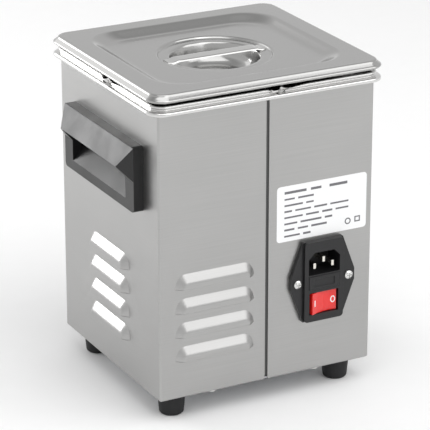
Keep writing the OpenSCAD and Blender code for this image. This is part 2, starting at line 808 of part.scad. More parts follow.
module mains_wires() {
  color("saddlebrown")
    wire([[-35, tab_y, live_z], [-34, 32, 94], [-30, 29, 78], [-10, 32, 54], [18, 28, 44], [29, 20.5, 37],
          [30, 20, board_top + 4.4], [30, 20, board_top]], lead_r, [1, 0, 0.3]);
  color("royalblue")
    wire([[-49, tab_y, live_z], [-49, 32, 92], [-45, 30, 72], [-22, 37, 48], [18, 35, 37], [35, 22, 36],
          [38, 20, board_top + 4.4], [38, 20, board_top]], lead_r, [1, 0, 0.3]);
}

module earth_wire() {
  color("yellowgreen")
    wire([[-42, tab_y, earth_z], [-42, 30, 100], [-48, 23, 92], [-60, 21, 72], [-69, 30, 48],
          [stud_at[0], stud_at[1], floor_z + 20], [stud_at[0], stud_at[1], floor_z + 9.4]],
         lead_r, [1, 0, 0.2]);
}

module transducer_wires() {
  color("crimson")
    wire([[-26, 0, mid_tab_z], [-31, 0, mid_tab_z - 2], [-34, -2, 78], [-30, -5, 50], [-25, -6, 38],
          [-24, -6, board_top + 4.4], [-24, -6, board_top]], lead_r, [0, 1, 0]);
}

module heater_wires() {
  color("white") for (x = [40, 46])
    wire([[x, -tank_half_d - 1.5 / 2, tank_floor + 12], [x, -71.6, 133], [x - 1, -70, 124], [x - 3, -62, 114],
          [x - 5, -57, 90], [x - 8, -52, 56], [x - 10, -45, 38], [x - 10, -44, board_top + 5.4],
          [x - 10, -44, board_top]], lead_r * 0.5, [1, 0, 0]);
}

module ribbon_cable() {
  back = panel_board_y + 1.6;
  color("lightgray") translate([-14, 0, 0]) rotate([90, 0, 90]) linear_extrude(14)
    polygon([[back, 62], [-59, 61], [-54.5, 54], [-53.5, 40], [-47, 34], [-46, board_top],
             [-47, board_top], [-48, 33.2], [-54.6, 39.4], [-55.6, 53.6], [-59.6, 60], [back, 61]]);
}

// ---------- lid ----------

lid_brim = rim_out - lid_sheet / 2;
top_up = 14.1;
dish_r = 40;
function dish_ring(r, up) = [r + 0.3, r + 0.3, r, rim_z + up];
lid_rings = [
  lid_ring(0.6, 8.5, 7.6), lid_ring(3, 9.5, 7.7), lid_ring(4.9, 10.8, 8.4),
  lid_ring(lid_brim - 0.1, 11.5, 9.6),
  lid_ring(lid_brim, 11.6, 10.3), lid_ring(lid_brim - 0.8, 11, 11.1), lid_ring(4.2, 10.2, 12.2),
  lid_ring(3.4, 9.6, 13), lid_ring(3.1, 9.4, 13.6), lid_ring(2.5, 9, 14), lid_ring(1.2, 8.5, top_up),
  lid_ring(-14, 26, top_up), lid_ring(-15, 25.5, top_up - 0.3), lid_ring(-16.6, 25, 11.6),
  lid_ring(-17.6, 24.5, 10), lid_ring(-18.8, 24, 9.5), lid_ring(-21, 23, panel_up),
  dish_ring(dish_r, panel_up), dish_ring(dish_r - 0.8, panel_up - 0.3),
  dish_ring(dish_r - 1.4, annulus_up + 0.3), dish_ring(dish_r - 2, annulus_up), dish_ring(32.2, annulus_up),
  dish_ring(31.2, annulus_up - 0.3), dish_ring(30.2, annulus_up - 2), dish_ring(28.8, 0.5),
  dish_ring(26, -3.8), dish_ring(21, -5.8), dish_ring(12, -6.4)
];

module lid_shell() {
  color("silver") pressed_sheet(lid_rings, lid_sheet);
}

// Strap across the dish, its ends spot-welded to the dish's step
strap_w = 11;
strap_t = 1.4;
module lid_handle() {
  low = rim_z + annulus_up + lid_sheet / 2;
  path = [[37.6, 0], [33.5, 0], [30, 0.9], [-30, 0.9], [-33.5, 0], [-37.6, 0]];
  outline = concat(path, [for (i = [len(path) - 1 : -1 : 0]) path[i] + [0, strap_t]]);
  color("gainsboro") translate([0, strap_w / 2, low]) rotate([90, 0, 0])
    linear_extrude(strap_w) polygon(outline);
}

// ---------- basket ----------

basket_half = [66, 59];
basket_top = 196;
basket_low = 134;
rod_r = 1.7;
hoop_half = 22;
hoop_top = 222;
hoop_bend = 7;
runner_x = 42;

module rod(a, b) {
  d = b - a;
  length = norm(d);
  translate(a) rotate([0, acos(d[2] / length), atan2(d[1], d[0])]) cylinder(r = rod_r, h = length);
}

// Quarter bend in the local XY plane, from +X round to +Y
module bend(r) {
  rotate_extrude(angle = 90) translate([r, 0]) circle(r = rod_r, $fn = 24);
}

// Hoop in the YZ plane: two uprights, two bends and a cross bar
module hoop(half, low, high, r) {
  for (s = [-1, 1]) {
    rod([0, s * half, low], [0, s * half, high - r]);
    translate([0, s * (half - r), high - r]) rotate([90, 0, 90]) rotate([0, 0, s > 0 ? 0 : 90]) bend(r);
  }
  rod([0, -half + r, high], [0, half - r, high]);
}

module basket_frame() {
  corner = 10;
  x = basket_half[0];
  y = basket_half[1];
  color("silver") {
    translate([0, 0, basket_top]) {
      for (s = [-1, 1]) {
        rod([-x + corner, s * y, 0], [x - corner, s * y, 0]);
        rod([s * x, -y + corner, 0], [s * x, y - corner, 0]);
      }
      for (i = [0 : 3])
        translate([(i == 0 || i == 3 ? 1 : -1) * (x - corner), (i < 2 ? 1 : -1) * (y - corner), 0])
          rotate([0, 0, 90 * i]) bend(corner);
    }
    for (s = [-1, 1]) translate([s * x, 0, 0]) hoop(hoop_half, basket_top, hoop_top, hoop_bend);
    for (s = [-1, 1]) translate([s * runner_x, 0, 0]) mirror([0, 0, 1])
      hoop(48, -basket_low, -tank_floor - rod_r - 0.2, 3);
  }
}

module basket_mesh() {
  w = 2 * (basket_half[0] - rod_r);
  d = 2 * (basket_half[1] - rod_r);
  color("gray") difference() {
    translate([0, 0, basket_low]) slab(w, d, basket_top - basket_low, 9);
    translate([0, 0, basket_low + 1]) slab(w - 2, d - 2, basket_top, 8);
  }
}

casing();
rear_seam_strip();
base_plate();
base_screws();
rubber_feet();
foot_screws();
foot_nuts();
tank();
rim_gasket();
heating_pad();
thermal_cutout();
temperature_sensor();
transducer_front_mass();
transducer_ceramic_rings();
transducer_electrodes();
transducer_back_mass();
transducer_bolt();
generator_board();
board_standoffs();
board_screws();
board_transformer();
board_inductor();
board_capacitors();
heatsinks();
power_transistors();
control_bezel();
display_window();
control_board();
display_module();
tact_switches();
panel_screws();
button_power();
button_heat();
button_time_down();
button_time_up();
button_temp_down();
button_temp_up();
side_handle_left();
side_handle_right();
inlet_housing();
inlet_pins();
inlet_screws();
inlet_nuts();
fuse_drawer();
fuses();
rocker();
rocker_pin();
rating_label();
earth_stud();
mains_wires();
earth_wire();
transducer_wires();
heater_wires();
ribbon_cable();
lid_shell();
lid_handle();
basket_frame();
basket_mesh();
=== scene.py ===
"""Looks of a bench-top ultrasonic cleaner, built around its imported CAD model. Lengths are in metres."""
import json
import math
import random

import bmesh
import bpy
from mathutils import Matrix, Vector, geometry


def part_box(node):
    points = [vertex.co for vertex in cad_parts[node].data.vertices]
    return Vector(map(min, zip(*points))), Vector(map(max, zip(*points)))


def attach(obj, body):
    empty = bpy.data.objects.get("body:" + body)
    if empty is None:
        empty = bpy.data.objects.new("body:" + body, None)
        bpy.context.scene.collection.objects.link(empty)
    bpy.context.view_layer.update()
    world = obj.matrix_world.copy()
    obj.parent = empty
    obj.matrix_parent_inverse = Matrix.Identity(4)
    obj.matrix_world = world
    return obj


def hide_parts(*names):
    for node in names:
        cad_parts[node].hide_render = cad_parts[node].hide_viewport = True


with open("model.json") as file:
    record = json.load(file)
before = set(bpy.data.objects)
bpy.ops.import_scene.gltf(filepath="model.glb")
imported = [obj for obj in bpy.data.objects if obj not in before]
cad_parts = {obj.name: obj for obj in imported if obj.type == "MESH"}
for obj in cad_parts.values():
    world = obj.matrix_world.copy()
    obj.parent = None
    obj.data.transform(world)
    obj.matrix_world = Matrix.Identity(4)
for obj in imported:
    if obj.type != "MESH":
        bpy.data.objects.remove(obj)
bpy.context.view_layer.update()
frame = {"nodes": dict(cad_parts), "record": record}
nodes = frame["nodes"]
MM = 0.001

# ---------- sizes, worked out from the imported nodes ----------

casing_low, casing_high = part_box("casing")
_, base_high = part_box("base_plate")
grip_low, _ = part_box("side_handle_left")
_, label_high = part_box("rating_label")
sheet = 0.8 * MM
base_gap = 1.0 * MM       # from the base plate's edge to the casing's outer face
rim_overlap = 3.4 * MM    # how far the rim's lower edge hangs below the casing's top
case_z = casing_low.z
case_top = casing_high.z
half_w = base_high.x + base_gap
half_d = base_high.y + base_gap
rim_z = case_top - rim_overlap


# ---------- materials ----------

def new_material(name):
    mat = bpy.data.materials.new(name)
    mat.use_nodes = True
    tree = mat.node_tree
    return mat, tree, tree.nodes["Principled BSDF"]


def add(tree, kind, **values):
    node = tree.nodes.new(kind)
    for key, value in values.items():
        if hasattr(node, key):
            setattr(node, key, value)
        else:
            node.inputs[key.replace("_", " ")].default_value = value
    return node


def noise_of(tree, scale, stretch=(1, 1, 1), detail=3.0, roughness=0.55):
    """Noise over the object's own coordinates, stretched by a scale on each axis."""
    place = add(tree, "ShaderNodeTexCoord")
    mapping = add(tree, "ShaderNodeMapping")
    mapping.inputs["Scale"].default_value = stretch
    tree.links.new(place.outputs["Object"], mapping.inputs["Vector"])
    noise = add(tree, "ShaderNodeTexNoise", Scale=scale, Detail=detail, Roughness=roughness)
    tree.links.new(mapping.outputs["Vector"], noise.inputs["Vector"])
    return noise


def spread(tree, source, low, high, start=0.3, end=0.7):
    node = add(tree, "ShaderNodeMapRange")
    node.inputs["From Min"].default_value = start
    node.inputs["From Max"].default_value = end
    node.inputs["To Min"].default_value = low
    node.inputs["To Max"].default_value = high
    tree.links.new(source, node.inputs["Value"])
    return node.outputs["Result"]


def tint(tree, factor, dark, light):
    mix = add(tree, "ShaderNodeMix", data_type="RGBA")
    mix.inputs[6].default_value = (*dark, 1)
    mix.inputs[7].default_value = (*light, 1)
    tree.links.new(factor, mix.inputs[0])
    return mix.outputs[2]


def shade(colour, factor):
    return tuple(min(1.0, c * factor) for c in colour)


def bump(tree, shader, height, strength, distance):
    node = add(tree, "ShaderNodeBump", Strength=strength, Distance=distance)
    tree.links.new(height, node.inputs["Height"])
    tree.links.new(node.outputs["Normal"], shader.inputs["Normal"])


def brushed_metal(name, colour, rough, grain, contrast=0.06, depth=0.12):
    """Metal whose fine lines run across the axis that grain stretches most."""
    mat, tree, shader = new_material(name)
    shader.inputs["Metallic"].default_value = 1.0
    fine = noise_of(tree, 1.0, grain, detail=4.0)
    broad = noise_of(tree, 9.0, (1, 1, 1.6), detail=2.0)
    total = add(tree, "ShaderNodeMath", operation="ADD")
    tree.links.new(spread(tree, fine.outputs["Fac"], 0.0, 0.6), total.inputs[0])
    tree.links.new(spread(tree, broad.outputs["Fac"], 0.0, 0.4), total.inputs[1])
    tinted = tint(tree, total.outputs[0], shade(colour, 1 - contrast), shade(colour, 1 + contrast))
    tree.links.new(tinted, shader.inputs["Base Color"])
    tree.links.new(spread(tree, fine.outputs["Fac"], rough * 0.85, rough * 1.2), shader.inputs["Roughness"])
    bump(tree, shader, fine.outputs["Fac"], depth, 0.05 * MM)
    return mat


def moulded(name, colour, rough, grain=2600.0, depth=0.25, specular=0.5, coat=0.0, mottle=0.12):
    """Moulded plastic or rubber with a fine spark-eroded texture and slight unevenness."""
    mat, tree, shader = new_material(name)
    shader.inputs["Specular IOR Level"].default_value = specular
    shader.inputs["Coat Weight"].default_value = coat
    shader.inputs["Coat Roughness"].default_value = 0.08
    fine = noise_of(tree, grain, detail=2.0)
    broad = noise_of(tree, 60.0, detail=3.0)
    tinted = tint(tree, broad.outputs["Fac"], shade(colour, 1 - mottle), shade(colour, 1 + mottle))
    tree.links.new(tinted, shader.inputs["Base Color"])
    tree.links.new(spread(tree, broad.outputs["Fac"], rough * 0.88, rough * 1.12), shader.inputs["Roughness"])
    bump(tree, shader, fine.outputs["Fac"], depth, 0.06 * MM)
    return mat


def wound_copper(name, colour):
    mat, tree, shader = new_material(name)
    shader.inputs["Metallic"].default_value = 1.0
    place = add(tree, "ShaderNodeTexCoord")
    wave = add(tree, "ShaderNodeTexWave", Scale=420.0, Distortion=0.6, bands_direction="DIAGONAL")
    tree.links.new(place.outputs["Object"], wave.inputs["Vector"])
    tree.links.new(tint(tree, wave.outputs["Fac"], shade(colour, 0.5), colour), shader.inputs["Base Color"])
    shader.inputs["Roughness"].default_value = 0.3
    bump(tree, shader, wave.outputs["Fac"], 0.6, 0.3 * MM)
    return mat


def printed_board(name, colour):
    mat, tree, shader = new_material(name)
    tracks = add(tree, "ShaderNodeTexBrick", Scale=90.0)
    place = add(tree, "ShaderNodeTexCoord")
    tree.links.new(place.outputs["Object"], tracks.inputs["Vector"])
    tree.links.new(tint(tree, tracks.outputs["Fac"], colour, shade(colour, 1.5)), shader.inputs["Base Color"])
    shader.inputs["Roughness"].default_value = 0.35
    bump(tree, shader, tracks.outputs["Fac"], 0.2, 0.03 * MM)
    return mat


def clear(name, colour, rough, transmission):
    mat, tree, shader = new_material(name)
    shader.inputs["Transmission Weight"].default_value = transmission
    shader.inputs["IOR"].default_value = 1.49
    smear = noise_of(tree, 45.0, detail=3.0)
    tinted = tint(tree, smear.outputs["Fac"], shade(colour, 0.9), shade(colour, 1.1))
    tree.links.new(tinted, shader.inputs["Base Color"])
    tree.links.new(spread(tree, smear.outputs["Fac"], rough, rough * 1.8), shader.inputs["Roughness"])
    return mat


# Grain: how closely the brushing lines repeat along X, Y and Z
ACROSS = (14, 14, 1500)
FINE = (700, 700, 700)
LENGTHWISE = (25, 1500, 1500)
PRESSED = (1500, 240, 1500)
TURNED = (60, 60, 2500)
EXTRUDED = (60, 60, 1200)
LOOKS = {
    "brushed_casing": brushed_metal("brushed_casing", (0.425, 0.423, 0.418), 0.34, ACROSS, 0.075, 0.09),
    "zinc_sheet": brushed_metal("zinc_sheet", (0.55, 0.56, 0.58), 0.42, FINE, 0.12, 0.1),
    "screw_steel": brushed_metal("screw_steel", (0.72, 0.72, 0.71), 0.24, FINE, 0.05, 0.05),
    "foot_rubber": moulded("foot_rubber", (0.012, 0.012, 0.013), 0.6, 1800.0, 0.35, 0.35),
    "gasket_rubber": moulded("gasket_rubber", (0.02, 0.02, 0.02), 0.65),
    "pressed_tank": brushed_metal("pressed_tank", (0.66, 0.657, 0.65), 0.15, FINE, 0.02, 0.015),
    "heater_silicone": moulded("heater_silicone", (0.42, 0.13, 0.05), 0.6),
    "black_plastic": moulded("black_plastic", (0.02, 0.02, 0.02), 0.5),
    "white_ceramic": moulded("white_ceramic", (0.8, 0.78, 0.72), 0.25, 900.0, 0.05, coat=0.4),
    "horn_aluminium": brushed_metal("horn_aluminium", (0.76, 0.77, 0.79), 0.3, TURNED),
    "brass_tabs": brushed_metal("brass_tabs", (0.78, 0.6, 0.28), 0.25, FINE),
    "back_steel": brushed_metal("back_steel", (0.4, 0.41, 0.43), 0.38, TURNED),
    "circuit_board": printed_board("circuit_board", (0.02, 0.14, 0.05)),
    "white_nylon": moulded("white_nylon", (0.82, 0.82, 0.78), 0.45),
    "ferrite": moulded("ferrite", (0.5, 0.38, 0.08), 0.5, 500.0, 0.2),
    "copper_coil": wound_copper("copper_coil", (0.75, 0.34, 0.16)),
    "capacitor_sleeve": moulded("capacitor_sleeve", (0.03, 0.06, 0.18), 0.3, coat=0.3),
    "sink_aluminium": brushed_metal("sink_aluminium", (0.62, 0.63, 0.65), 0.35, EXTRUDED),
    "bezel_plastic": moulded("bezel_plastic", (0.022, 0.024, 0.028), 0.42, 2400.0, 0.3),
    "smoked_window": clear("smoked_window", (0.05, 0.006, 0.006), 0.05, 0.35),
    "button_plastic": moulded("button_plastic", (0.62, 0.63, 0.65), 0.38, 2400.0, 0.12),
    "handle_plastic": moulded("handle_plastic", (0.006, 0.006, 0.0063), 0.37, 1100.0, 0.5, 0.5, mottle=0.2),
    "inlet_plastic": moulded("inlet_plastic", (0.010, 0.010, 0.011), 0.36, 2600.0, 0.15, 0.45),
    "pin_metal": brushed_metal("pin_metal", (0.78, 0.76, 0.7), 0.22, FINE),
    "fuse_glass": clear("fuse_glass", (0.9, 0.92, 0.92), 0.03, 0.6),
    "red_plastic": moulded("red_plastic", (0.75, 0.012, 0.010), 0.22, 1500.0, 0.04, coat=0.5, mottle=0.06),
    "label_film": moulded("label_film", (0.86, 0.865, 0.87), 0.35, 1200.0, 0.04, mottle=0.02),
    "wire_insulation": moulded("wire_insulation", (0.3, 0.08, 0.05), 0.4),
    "earth_insulation": moulded("earth_insulation", (0.3, 0.42, 0.02), 0.4),
    "ribbon_insulation": moulded("ribbon_insulation", (0.5, 0.5, 0.5), 0.45),
    "satin_lid": brushed_metal("satin_lid", (0.43, 0.428, 0.422), 0.18, PRESSED, 0.012, 0.012),
    "polished_strap": brushed_metal("polished_strap", (0.56, 0.557, 0.55), 0.13, LENGTHWISE, 0.02, 0.02),
    "basket_wire": brushed_metal("basket_wire", (0.74, 0.735, 0.725), 0.2, FINE, 0.03, 0.03),
    "basket_weave": brushed_metal("basket_weave", (0.68, 0.675, 0.665), 0.3, FINE, 0.05, 0.05),
}


# ---------- mesh helpers ----------

def piece_from(bm, name, body, slot, smooth_angle=38.0, look=None):
    """Turns a bmesh into a finished piece on a body. Edges sharper than the angle stay crisp."""
    limit = math.radians(smooth_angle)
    for face in bm.faces:
        face.smooth = True
    for edge in bm.edges:
        edge.smooth = not (len(edge.link_faces) == 2 and edge.calc_face_angle(0.0) > limit)
    mesh = bpy.data.meshes.new(name)
    bm.to_mesh(mesh)
    bm.free()
    piece = bpy.data.objects.new(name, mesh)
    bpy.context.scene.collection.objects.link(piece)
    piece.data.materials.append(look or LOOKS[slot])
    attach(piece, body)
    return piece


def thicken(piece, depth):
    solid = piece.modifiers.new("sheet", "SOLIDIFY")
    solid.thickness = depth
    solid.offset = -1
    solid.use_even_offset = True
    weight_normals(piece)


def weight_normals(piece):
    weighted = piece.modifiers.new("flats", "WEIGHTED_NORMAL")
    weighted.keep_sharp = True
    weighted.weight = 80


def strip(bm, first, second, closed=False):
    """Quads between two rows of vertices."""
    count = len(first)
    for i in range(count if closed else count - 1):
        j = (i + 1) % count
        corners = []
        for v in (first[i], first[j], second[j], second[i]):
            if v not in corners:
                corners.append(v)
        if len(corners) > 2:
            bm.faces.new(corners)


def inside(point, loop):
    hit = False
    for (x1, y1), (x2, y2) in zip(loop, loop[1:] + loop[:1]):
        if (y1 > point[1]) != (y2 > point[1]):
            if point[0] < (x2 - x1) * (point[1] - y1) / (y2 - y1) + x1:
                hit = not hit
    return hit


def fill_panel(bm, outline, holes, place):
    """Flat panel with holes, drawn in two dimensions and put in place by a function."""
    points, edges = [], []
    for loop in [outline, *holes]:
        first = len(points)
        points += [Vector(p) for p in loop]
        edges += [(first + i, first + (i + 1) % len(loop)) for i in range(len(loop))]
    made = geometry.delaunay_2d_cdt(points, edges, [], 0, 1e-9)
    verts = [bm.verts.new(place(p[0], p[1])) for p in made[0]]
    for tri in made[2]:
        centre = sum((made[0][i] for i in tri), Vector((0, 0))) / len(tri)
        if inside(centre, outline) and not any(inside(centre, hole) for hole in holes):
            bm.faces.new([verts[i] for i in tri])


def arc(cx, cy, rx, ry, start, end, steps):
    turn = [math.radians(start + (end - start) * i / steps) for i in range(steps + 1)]
    return [(cx + rx * math.cos(a), cy + ry * math.sin(a)) for a in turn]


# ---------- casing ----------

bend_r = 1.6 * MM
louvre_half = 30 * MM
louvre_h = 10.5 * MM
louvre_out = casing_high.x - half_w
louvre_end = 8.4 * MM
louvre_pitch = 17.4 * MM
louvre_base = case_z + 27.8 * MM
louvre_rear_x = 40 * MM
louvre_count = 4
# From a louvre's core (0) to its foot (1), and the share of its full height reached there
LOUVRE_SECTION = ((1.0, 0.0), (0.97, 0.02), (0.93, 0.09), (0.86, 0.22), (0.52, 0.80), (0.45, 0.90),
                  (0.38, 0.965), (0.31, 1.0))
seam_half = 1.0 * MM
seam_curl = 0.5 * MM
# Cut-outs in the sheet
grip_cut_half, grip_cut_low, grip_cut_high = 44 * MM, 14 * MM, 42 * MM
inlet_cut_half, inlet_cut_down, inlet_cut_up = 13.9 * MM, 25.8 * MM, 23.2 * MM
panel_cut_half, panel_cut_tall = 56 * MM, 33 * MM
# Flange under the casing: how far it reaches in, and its corner radius
flange_in, flange_r = 9 * MM, 3 * MM
BEND_STEPS = 6


def louvre_outline(u, v):
    """Outline of a louvre's foot, from its lower left end over the top to its lower right end."""
    mid = louvre_half - louvre_end
    left = arc(u - mid, v, louvre_end, louvre_h, 180, 90, 12)
    right = arc(u + mid, v, louvre_end, louvre_h, 90, 0, 12)
    return left + right


def louvre_core(point, u, v):
    mid = louvre_half - louvre_end
    return min(max(point[0], u - mid), u + mid), v


def add_louvre(bm, u, v, place):
    outline = louvre_outline(u, v)
    rows = []
    for share, rise in LOUVRE_SECTION:
        row = []
        for point in outline:
            core = louvre_core(point, u, v)
            at = [core[k] + (point[k] - core[k]) * share for k in (0, 1)]
            row.append(bm.verts.new(place(at[0], at[1], louvre_out * rise)))
        rows.append(row)
    for lower, upper in zip(rows, rows[1:]):
        strip(bm, lower, upper)
    bm.faces.new(rows[-1])


def rectangle(x0, x1, y0, y1):
    return [(x0, y0), (x1, y0), (x1, y1), (x0, y1)]


def build_casing():
    bm = bmesh.new()
    low = case_z + bend_r
    inlet_low, inlet_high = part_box("inlet_housing")
    inlet_x = (inlet_low.x + inlet_high.x) / 2
    inlet_z = (inlet_low.z + inlet_high.z) / 2
    seam_edge = seam_half + seam_curl

    def rear(u, v, out=0.0):
        return u, half_d + out, v

    def front(u, v, out=0.0):
        return u, -half_d - out, v

    def right(u, v, out=0.0):
        return half_w + out, u, v

    def left(u, v, out=0.0):
        return -half_w - out, u, v

    levels = [louvre_base + i * louvre_pitch for i in range(louvre_count)]
    grip = rectangle(-grip_cut_half, grip_cut_half, grip_low.z + grip_cut_low, grip_low.z + grip_cut_high)
    for place in (right, left):
        fill_panel(bm, rectangle(-half_d + bend_r, half_d - bend_r, low, case_top),
                   [louvre_outline(0, z) for z in levels] + [grip], place)
        for z in levels:
            add_louvre(bm, 0, z, place)
    inlet_cut = rectangle(inlet_x - inlet_cut_half, inlet_x + inlet_cut_half,
                          inlet_z - inlet_cut_down, inlet_z + inlet_cut_up)
    fill_panel(bm, rectangle(-half_w + bend_r, -seam_edge, low, case_top), [inlet_cut], rear)
    fill_panel(bm, rectangle(seam_edge, half_w - bend_r, low, case_top),
               [louvre_outline(louvre_rear_x, z) for z in levels], rear)
    for z in levels:
        add_louvre(bm, louvre_rear_x, z, rear)
    bezel_low, bezel_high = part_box("control_bezel")
    mid_z = (bezel_low.z + bezel_high.z) / 2
    panel_cut = rectangle(-panel_cut_half, panel_cut_half, mid_z - panel_cut_tall, mid_z + panel_cut_tall)
    fill_panel(bm, rectangle(-half_w + bend_r, half_w - bend_r, low, case_top), [panel_cut], front)

    # The four vertical bends, and the two edges that curl in at the seam
    for sx in (-1, 1):
        for sy in (-1, 1):
            bend = arc(half_w - bend_r, half_d - bend_r, bend_r, bend_r, 0, 90, BEND_STEPS)
            strip(bm, [bm.verts.new((sx * x, sy * y, low)) for x, y in bend],
                  [bm.verts.new((sx * x, sy * y, case_top)) for x, y in bend])
        curl = []
        for a in (0, 30, 60, 90):
            turn = math.radians(a)
            curl.append((seam_half + seam_curl * (1 - math.sin(turn)),
                         half_d - seam_curl * (1 - math.cos(turn))))
        curl.append((seam_half, half_d - sheet))
        strip(bm, [bm.verts.new((sx * x, y, low)) for x, y in curl],
              [bm.verts.new((sx * x, y, case_top)) for x, y in curl])

    # Rounded lower edge and flange: inset, corner radius, height; the rows stay open at the seam
    rows = []
    for a in range(0, 91, 18):
        inset = bend_r * (1 - math.cos(math.radians(a)))
        rows.append((inset, bend_r - inset, low - bend_r * math.sin(math.radians(a))))
    rows.append((flange_in, flange_r, case_z))
    rings = []
    for inset, r, z in rows:
        ring = []
        for sx, sy, turn in ((1, 1, 0), (-1, 1, 90), (-1, -1, 180), (1, -1, 270)):
            x, y = sx * (half_w - inset - r), sy * (half_d - inset - r)
            ring += [(px, py, z) for px, py in arc(x, y, r, r, turn, turn + 90, BEND_STEPS)]
            if turn == 0:
                ring += [(s * seam_edge, half_d - inset, z) for s in (1, -1)]
        rings.append([bm.verts.new(p) for p in ring])
    for upper, lower in zip(rings, rings[1:]):
        split = BEND_STEPS + 2
        for part in (range(0, split), range(split, len(upper) + 1)):
            strip(bm, [upper[i % len(upper)] for i in part], [lower[i % len(upper)] for i in part])

    bmesh.ops.remove_doubles(bm, verts=bm.verts, dist=0.002 * MM)
    bmesh.ops.recalc_face_normals(bm, faces=bm.faces)
    side_faces = (f for f in bm.faces if abs(f.calc_center_median().x - half_w) < MM)
    biggest = max(side_faces, key=lambda f: f.calc_area())
    if biggest.normal.x < 0:
        bmesh.ops.reverse_faces(bm, faces=bm.faces)
    casing = piece_from(bm, "casing_skin", "chassis", "brushed_casing", 50)
    thicken(casing, sheet)
    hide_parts("casing")


build_casing()


# ---------- pressed tank with its rolled rim, and the lid ----------

def smooth_profile(points, steps=4, straight=8 * MM):
    """Curve through a section's points; a stretch longer than straight stays as it is."""
    out = []
    last = len(points) - 1
    for i in range(last):
        p = [Vector(points[k]) for k in (max(i - 1, 0), i, i + 1, min(i + 2, last))]
        if (p[2] - p[1]).length > straight:
            out.append(p[1])
            continue
        knots = [0.0]
        for a, b in zip(p, p[1:]):
            knots.append(knots[-1] + max((b - a).length, 1e-9) ** 0.5)
        for j in range(steps):
            t = knots[1] + (knots[2] - knots[1]) * j / steps
            a = []
            for k in range(3):
                span = knots[k + 1] - knots[k]
                a.append(p[k] + (p[k + 1] - p[k]) * ((t - knots[k]) / span) if span > 1e-4 else p[k])
            b = [a[k] + (a[k + 1] - a[k]) * ((t - knots[k]) / (knots[k + 2] - knots[k])) for k in range(2)]
            out.append(b[0] + (b[1] - b[0]) * ((t - knots[1]) / (knots[2] - knots[1])))
    out.append(Vector(points[last]))
    return out


def ease(share):
    return share * share * (3 - 2 * share)


# Notch pressed into the rim at each side's middle. It falls gently from its start to full depth, steps up at
# the middle, and rises the rest of the way to its end.
NOTCH_START, NOTCH_FALL = -30 * MM, 26 * MM
NOTCH_END, NOTCH_RISE = 3.5 * MM, 7 * MM


def ring_at(hx, hy, r, z, stops, dip=0.0, arc_steps=12):
    """One ring of a pressed shell. Stops are points along each side; dip is the depth of the notch there."""
    ring = []
    for k, (sx, sy) in enumerate(((1, 1), (-1, 1), (-1, -1), (1, -1))):
        turn = 90 * k
        ring += [(x, y, z) for x, y in arc(sx * (hx - r), sy * (hy - r), r, r, turn, turn + 90, arc_steps)]
        across = hx if k % 2 else hy
        c, s = round(math.cos(math.radians(turn))), round(math.sin(math.radians(turn)))
        for stop in stops:
            share = (stop - NOTCH_START) / NOTCH_FALL if stop < 0 else (NOTCH_END - stop) / NOTCH_RISE
            drop = dip * ease(min(max(share, 0), 1))
            ring.append((stop * c - across * s, stop * s + across * c, z - drop))
    return ring


def loft(rings):
    """Closed rings joined into a shell, with a face over the last one."""
    bm = bmesh.new()
    rows = [[bm.verts.new(p) for p in ring] for ring in rings]
    for lower, upper in zip(rows, rows[1:]):
        strip(bm, lower, upper, closed=True)
    bm.faces.new(rows[-1])
    bmesh.ops.recalc_face_normals(bm, faces=bm.faces)
    return bm


def face_up(bm):
    """Turns the shell's faces so that its broad top looks up."""
    top = max((f for f in bm.faces if abs(f.normal.z) > 0.9), key=lambda f: f.calc_area())
    if top.normal.z < 0:
        bmesh.ops.reverse_faces(bm, faces=bm.faces)


# Tank, from the rim's lower edge over the top and down to the floor, in millimetres:
# offset out from the casing, corner radius, height above the rim's lower edge, depth of the notch
RIM = (
    (4.9, 9.8, 0.75, 0), (5.4, 10.4, 0.2, 0), (6.1, 11.2, 0.35, 0), (6.44, 12.0, 1.1, 0), (6.4, 12.0, 2.0, 0),
    (5.9, 11.6, 2.75, 0), (4.6, 10.6, 3.15, 0), (3.0, 9.4, 3.35, 0), (2.45, 8.9, 3.8, 0), (2.7, 9.0, 4.5, 0),
    (3.35, 9.5, 5.2, 0.3), (3.4, 9.6, 5.8, 0.9), (2.9, 9.2, 6.4, 1.4), (2.0, 8.6, 6.75, 1.7),
    (0.6, 8.6, 6.8, 1.7), (-1.0, 9.0, 6.8, 1.7), (-3.2, 11.4, 6.75, 1.2), (-5.1, 15.0, 6.2, 0.5),
    (-6.1, 17.4, 5.0, 0.2), (-6.5, 19.0, 3.0, 0), (-6.5, 19.0, 0.0, 0), (-6.5, 19.0, -83.0, 0),
    (-6.7, 18.8, -86.5, 0), (-8.2, 17.6, -90.0, 0), (-11.8, 15.5, -92.4, 0), (-16.8, 14, -93.2, 0),
    (-30, 12, -93.2, 0),
)
# Points along each side of the rim, in millimetres from its middle
RIM_STOPS = (8, 5, 3.5, 2.5, 1.5, 0.5, -0.5, -1.5, -3, -5, -8, -12, -16, -20, -24, -27, -30, -33)


def build_tank():
    stops = [s * MM for s in RIM_STOPS]
    rings = []
    for n, r, up, dip in smooth_profile([Vector(p) * MM for p in RIM]):
        rings.append(ring_at(half_w + n, half_d + n, r, rim_z + up, stops, dip))
    bm = loft(rings)
    floor = min(bm.faces, key=lambda f: f.calc_center_median().z)
    if floor.normal.z < 0:
        bmesh.ops.reverse_faces(bm, faces=bm.faces)
    tank = piece_from(bm, "tank_skin", "chassis", "pressed_tank", 60)
    thicken(tank, sheet)
    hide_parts("tank")


